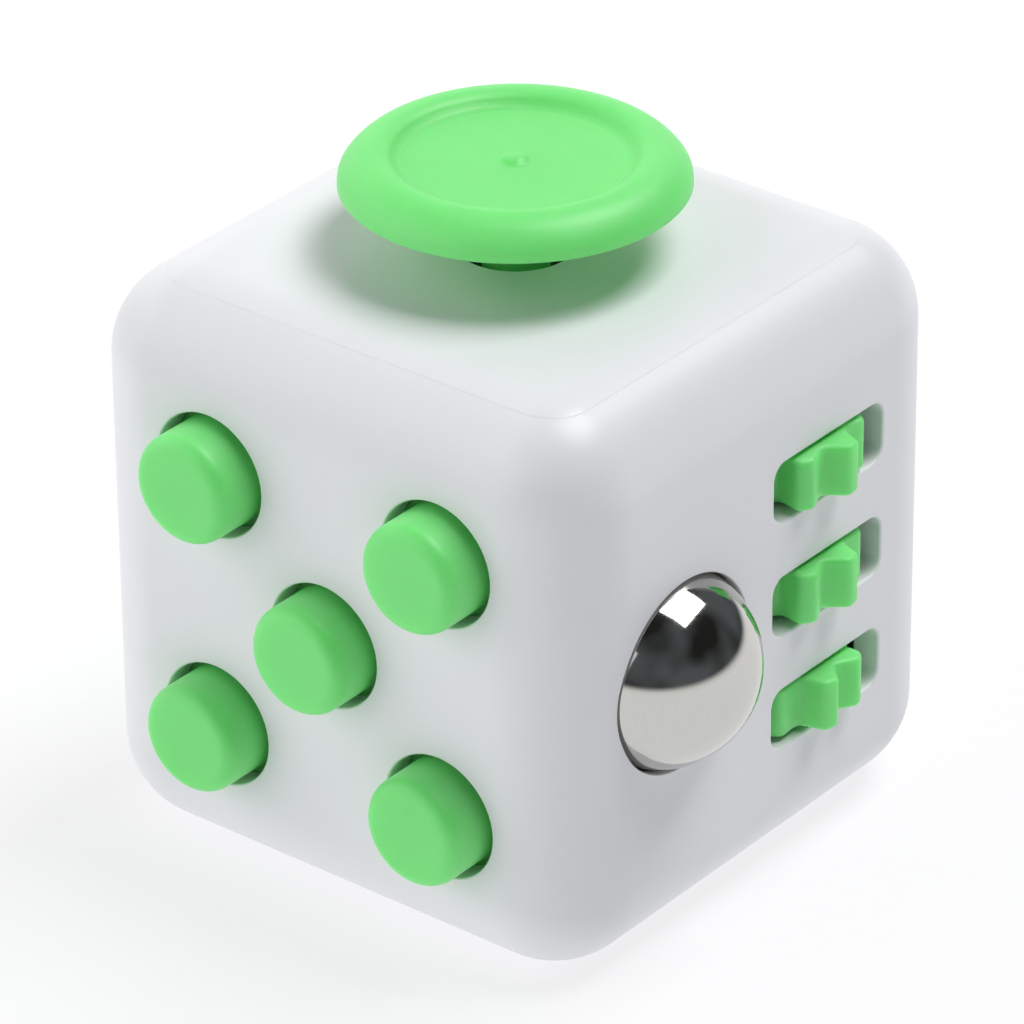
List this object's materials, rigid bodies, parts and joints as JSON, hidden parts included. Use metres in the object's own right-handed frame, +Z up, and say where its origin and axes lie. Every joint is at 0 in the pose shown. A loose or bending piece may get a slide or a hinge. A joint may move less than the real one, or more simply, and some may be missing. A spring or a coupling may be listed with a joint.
{
  "type": "fidget cube",
  "caption": "Palm-size rounded desk cube with push buttons, a roller ball, thumb wheels, a sliding thumb pad, a rocker, a dial and a thumb rest.",
  "frame": {"origin": "middle of the whole toy's outline, on the plane that the base stands on; the cube's own middle is 1 mm to -X of it, because the ball stands out further than the dial", "axes": "+Z up, out of the glide pad; -Y out of the button face; +X out of the ball and cog face; +Y out of the rocker face; -X out of the dial face"},
  "size_m": [0.0384, 0.038, 0.0385],
  "materials": {
    "white_abs": "satin moulded ABS",
    "green_abs": "satin moulded ABS",
    "polished_steel": "ground and polished ball bearing steel",
    "inner_abs": "unpolished moulded ABS",
    "acetal": "slippery moulded acetal",
    "black_nylon": "moulded black nylon",
    "silicone_rubber": "matt moulded silicone",
    "spring_steel": "bright rolled strip and wire",
    "screw_steel": "dark zinc-plated"
  },
  "bodies": {
    "body": {"body_shell": "white_abs", "top_cover": "white_abs", "click_plate": "inner_abs", "snap_dome_1": "spring_steel", "snap_dome_2": "spring_steel", "snap_dome_3": "spring_steel", "rubber_dome_1": "silicone_rubber", "rubber_dome_2": "silicone_rubber", "gear_shaft": "spring_steel", "gear_bracket": "inner_abs", "gear_detent_upper": "spring_steel", "gear_detent_middle": "spring_steel", "gear_detent_lower": "spring_steel", "ball_bracket": "inner_abs", "ball_spring": "spring_steel", "glide_frame": "black_nylon", "glide_spring": "silicone_rubber", "flip_pin": "spring_steel", "flip_housing": "inner_abs", "flip_spring": "spring_steel", "click_screw_1": "screw_steel", "click_screw_2": "screw_steel", "click_screw_3": "screw_steel", "click_screw_4": "screw_steel", "gear_screw_1": "screw_steel", "gear_screw_2": "screw_steel", "ball_screw_1": "screw_steel", "ball_screw_2": "screw_steel", "glide_frame_screw_1": "screw_steel", "glide_frame_screw_2": "screw_steel", "glide_frame_screw_3": "screw_steel", "glide_frame_screw_4": "screw_steel", "flip_screw_1": "screw_steel", "flip_screw_2": "screw_steel"},
    "button_1": {"click_button_1": "green_abs"},
    "button_2": {"click_button_2": "green_abs"},
    "button_3": {"click_button_3": "green_abs"},
    "button_4": {"click_button_4": "green_abs"},
    "button_5": {"click_button_5": "green_abs"},
    "cog_upper": {"gear_upper": "green_abs"},
    "cog_middle": {"gear_middle": "green_abs"},
    "cog_lower": {"gear_lower": "green_abs"},
    "ball_socket": {"ball_seat": "acetal"},
    "ball_cup": {"ball_liner": "acetal"},
    "ball": {"roll_ball": "polished_steel"},
    "pad_carriage": {"glide_carriage": "black_nylon"},
    "pad": {"glide_pad": "green_abs", "glide_rider": "black_nylon", "glide_screw": "screw_steel"},
    "rocker": {"flip_rocker": "green_abs"},
    "dial": {"spin_dial": "green_abs", "dial_screw": "screw_steel", "dial_washer": "acetal", "dial_spring_washer": "spring_steel"}
  },
  "joints": [
    {"name": "click_1", "type": "slide", "parent": "body", "child": "button_1", "axis": [0, 1, 0], "range_m": [0, 0.0009], "stiffness_N_per_m": 800, "springref_m": -0.0003, "deforming": ["snap_dome_1"]},
    {"name": "click_2", "type": "slide", "parent": "body", "child": "button_2", "axis": [0, 1, 0], "range_m": [0, 0.0009], "stiffness_N_per_m": 800, "springref_m": -0.0003, "deforming": ["rubber_dome_1"]},
    {"name": "click_3", "type": "slide", "parent": "body", "child": "button_3", "axis": [0, 1, 0], "range_m": [0, 0.0009], "stiffness_N_per_m": 800, "springref_m": -0.0003, "deforming": ["snap_dome_2"]},
    {"name": "click_4", "type": "slide", "parent": "body", "child": "button_4", "axis": [0, 1, 0], "range_m": [0, 0.0009], "stiffness_N_per_m": 800, "springref_m": -0.0003, "deforming": ["rubber_dome_2"]},
    {"name": "click_5", "type": "slide", "parent": "body", "child": "button_5", "axis": [0, 1, 0], "range_m": [0, 0.0009], "stiffness_N_per_m": 800, "springref_m": -0.0003, "deforming": ["snap_dome_3"]},
    {"name": "cog_upper_turn", "type": "hinge", "parent": "body", "child": "cog_upper", "pos_m": [0.01275, 0.00505, 0.02325], "axis": [0, 0, 1], "continuous": true, "deforming": ["gear_detent_upper"]},
    {"name": "cog_middle_turn", "type": "hinge", "parent": "body", "child": "cog_middle", "pos_m": [0.01275, 0.00505, 0.01645], "axis": [0, 0, 1], "continuous": true, "deforming": ["gear_detent_middle"]},
    {"name": "cog_lower_turn", "type": "hinge", "parent": "body", "child": "cog_lower", "pos_m": [0.01275, 0.00505, 0.00965], "axis": [0, 0, 1], "continuous": true, "deforming": ["gear_detent_lower"]},
    {"name": "ball_press", "type": "slide", "parent": "body", "child": "ball_socket", "axis": [-1, 0, 0], "range_m": [0, 0.0008], "stiffness_N_per_m": 700, "springref_m": -0.0005, "deforming": ["ball_spring"]},
    {"name": "ball_roll", "type": "hinge", "parent": "ball_socket", "child": "ball_cup", "pos_m": [0.0137, -0.00708, 0.01635], "axis": [1, 0, 0], "continuous": true},
    {"name": "ball_spin", "type": "hinge", "parent": "ball_cup", "child": "ball", "pos_m": [0.0137, -0.00708, 0.01635], "axis": [0, 0, 1], "continuous": true},
    {"name": "glide_x", "type": "slide", "parent": "body", "child": "pad_carriage", "axis": [1, 0, 0], "range_m": [-0.0009, 0.0009], "stiffness_N_per_m": 400, "deforming": ["glide_spring"]},
    {"name": "glide_y", "type": "slide", "parent": "pad_carriage", "child": "pad", "axis": [0, 1, 0], "range_m": [-0.0009, 0.0009], "stiffness_N_per_m": 400},
    {"name": "flip", "type": "hinge", "parent": "body", "child": "rocker", "pos_m": [-0.001, 0.0138, 0.0165], "axis": [1, 0, 0], "range_deg": [0, 24], "deforming": ["flip_spring"]},
    {"name": "dial_spin", "type": "hinge", "parent": "body", "child": "dial", "pos_m": [-0.0183, 0, 0.0165], "axis": [1, 0, 0], "continuous": true}
  ]
}
